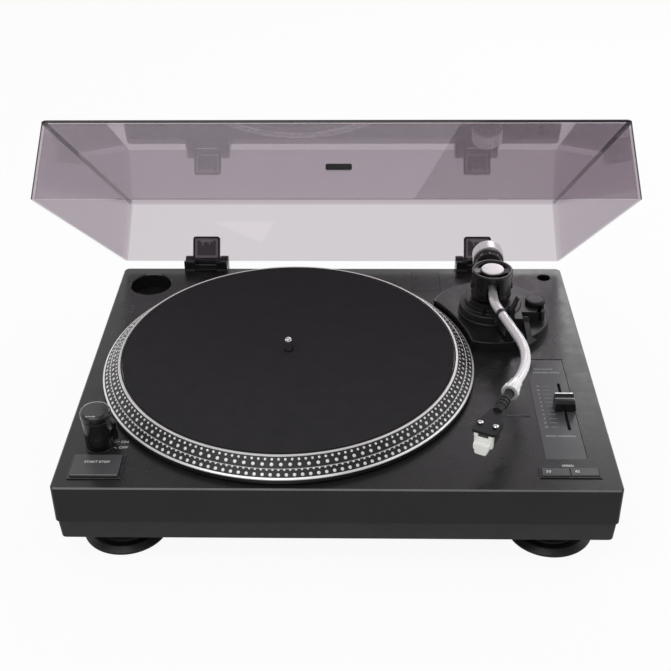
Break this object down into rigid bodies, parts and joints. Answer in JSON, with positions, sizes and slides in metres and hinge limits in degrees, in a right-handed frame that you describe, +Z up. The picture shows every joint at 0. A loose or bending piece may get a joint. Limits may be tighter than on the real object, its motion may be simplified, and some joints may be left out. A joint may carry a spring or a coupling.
{
  "type": "turntable record player",
  "caption": "Belt-drive record player: low plinth on wide feet, dotted platter with felt mat, S-shaped tonearm on a raised round board, strobe lamp, pitch fader and an open hinged smoked cover.",
  "frame": {"origin": "middle of the player's box at floor level, on the plane of the feet's soles, with the cover open", "axes": "+X to the player's right, +Y from front to back, +Z up"},
  "size_m": [0.45, 0.3838, 0.3388],
  "materials": {
    "satin_black": "satin moulded",
    "tray_black": "fine grain moulded",
    "foot_black": "moulded, rubber soled",
    "platter_metal": "die-cast, turned, black rim with dots",
    "felt": "pressed felt",
    "bright_steel": "polished",
    "plain_steel": "plated",
    "brass": "turned",
    "belt_rubber": "ground rubber",
    "key_grey": "satin",
    "gloss_black": "semi-gloss",
    "lamp_red": "clear red lens",
    "hinge_black": "moulded",
    "smoked_acrylic": "polished, smoke tinted, clear",
    "arm_black": "satin enamel",
    "arm_metal": "bright anodised",
    "cartridge_cream": "moulded",
    "guard_clear": "translucent moulded",
    "circuit_green": "solder mask",
    "panel_black": "fine grain"
  },
  "bodies": {
    "base": {"plinth_cover": "satin_black", "deck_plate": "satin_black", "bottom_tray": "tray_black", "foot_front_left": "foot_black", "foot_front_right": "foot_black", "foot_rear_left": "foot_black", "foot_rear_right": "foot_black", "thrust_ball": "bright_steel", "bearing_housing": "brass", "motor": "plain_steel", "drive_belt": "belt_rubber", "start_bezel": "satin_black", "speed_bezel": "satin_black", "strobe_tower": "satin_black", "strobe_window": "lamp_red", "pitch_panel": "satin_black", "pitch_fader": "plain_steel", "hinge_base_left": "hinge_black", "hinge_base_right": "hinge_black", "arm_board": "satin_black", "arm_base": "gloss_black", "arm_rest": "gloss_black", "main_board": "circuit_green", "power_transformer": "plain_steel", "rear_panel": "panel_black", "phono_jack_left": "brass", "phono_jack_right": "brass", "ground_terminal": "brass", "usb_socket": "plain_steel", "mains_inlet": "panel_black"},
    "platter": {"platter": "platter_metal", "slip_mat": "felt", "platter_shaft": "bright_steel"},
    "pulley": {"motor_pulley": "brass"},
    "lid": {"dust_cover": "smoked_acrylic", "hinge_leaf_left": "hinge_black", "hinge_leaf_right": "hinge_black", "lid_plaque": "satin_black"},
    "arm_swing": {"arm_housing": "arm_black", "housing_cap": "bright_steel"},
    "arm_lift": {"arm_trunnion": "plain_steel", "arm_tube": "arm_metal", "headshell": "arm_black", "finger_lift": "arm_black", "cartridge": "cartridge_cream", "stylus": "cartridge_cream", "stylus_guard": "guard_clear"},
    "counterweight": {"counterweight": "bright_steel"},
    "force_dial": {"force_dial": "gloss_black"},
    "lock_collar": {"lock_collar": "arm_metal"},
    "anti_skate_knob": {"anti_skate_knob": "key_grey"},
    "cue_lever": {"cue_lever": "gloss_black"},
    "cue_platform": {"cue_platform": "gloss_black"},
    "arm_clip": {"arm_clip": "gloss_black"},
    "start_key": {"start_button": "key_grey"},
    "key_33": {"speed_button_33": "key_grey"},
    "key_45": {"speed_button_45": "key_grey"},
    "power_knob": {"power_knob": "gloss_black"},
    "pitch_knob": {"pitch_knob": "gloss_black"},
    "line_selector": {"line_selector": "key_grey"}
  },
  "joints": [
    {"name": "platter_spin", "type": "hinge", "parent": "base", "child": "platter", "pos_m": [-0.0449, -0.02178, 0.09], "axis": [0, 0, 1], "continuous": true},
    {"name": "pulley_spin", "type": "hinge", "parent": "base", "child": "pulley", "pos_m": [-0.1241, 0.05741, 0.08], "axis": [0, 0, 1], "continuous": true},
    {"name": "lid_hinge", "type": "hinge", "parent": "base", "child": "lid", "pos_m": [0, 0.16612, 0.0825], "axis": [-1, 0, 0], "range_deg": [-36.6, 15]},
    {"name": "tonearm_swing", "type": "hinge", "parent": "base", "child": "arm_swing", "pos_m": [0.1428, 0.05812, 0.1175], "axis": [0, 0, -1], "range_deg": [0, 48]},
    {"name": "tonearm_lift", "type": "hinge", "parent": "arm_swing", "child": "arm_lift", "pos_m": [0.1428, 0.05812, 0.1175], "axis": [-0.9996, 0.0297, 0], "range_deg": [-0.7, 12]},
    {"name": "counterweight_slide", "type": "slide", "parent": "arm_lift", "child": "counterweight", "axis": [0.0297, 0.9996, 0], "range_m": [-0.003, 0.006]},
    {"name": "force_dial_turn", "type": "hinge", "parent": "counterweight", "child": "force_dial", "pos_m": [0.1428, 0.05812, 0.1175], "axis": [0.0297, 0.9996, 0], "continuous": true},
    {"name": "lock_collar_turn", "type": "hinge", "parent": "arm_lift", "child": "lock_collar", "pos_m": [0.14058, -0.11633, 0.1175], "axis": [-0.4368, -0.8996, 0], "range_deg": [0, 70]},
    {"name": "anti_skate_turn", "type": "hinge", "parent": "base", "child": "anti_skate_knob", "pos_m": [0.1853, 0.05812, 0.098], "axis": [0, 0, 1], "range_deg": [0, 300]},
    {"name": "cue_lever_turn", "type": "hinge", "parent": "base", "child": "cue_lever", "pos_m": [0.1738, 0.03412, 0.0933], "axis": [-1, 0, 0], "range_deg": [0, 60]},
    {"name": "cue_platform_lift", "type": "slide", "parent": "base", "child": "cue_platform", "axis": [0, 0, 1], "range_m": [0, 0.003]},
    {"name": "arm_clip_turn", "type": "hinge", "parent": "base", "child": "arm_clip", "pos_m": [0.15564, 0.00819, 0.1207], "axis": [0.2571, -0.9664, 0], "range_deg": [-15, 95]},
    {"name": "start_press", "type": "slide", "parent": "base", "child": "start_key", "axis": [0, 0, -1], "range_m": [0, 0.0012], "stiffness_N_per_m": 300, "springref_m": -0.002},
    {"name": "speed_33_press", "type": "slide", "parent": "base", "child": "key_33", "axis": [0, 0, -1], "range_m": [0, 0.001], "stiffness_N_per_m": 300, "springref_m": -0.002},
    {"name": "speed_45_press", "type": "slide", "parent": "base", "child": "key_45", "axis": [0, 0, -1], "range_m": [0, 0.001], "stiffness_N_per_m": 300, "springref_m": -0.002},
    {"name": "power_turn", "type": "hinge", "parent": "base", "child": "power_knob", "pos_m": [-0.1946, -0.13788, 0.11], "axis": [0, 0, 1], "range_deg": [0, 30]},
    {"name": "pitch_slide", "type": "slide", "parent": "base", "child": "pitch_knob", "axis": [0, 1, 0], "range_m": [-0.0274, 0.0326]},
    {"name": "line_switch", "type": "slide", "parent": "base", "child": "line_selector", "axis": [1, 0, 0], "range_m": [0, 0.004]}
  ],
  "couplings": [
    {"joint": "pulley_spin", "follows": "platter_spin", "ratio": 14.667},
    {"joint": "cue_platform_lift", "follows": "cue_lever_turn", "m_per_rad": 0.00286}
  ]
}
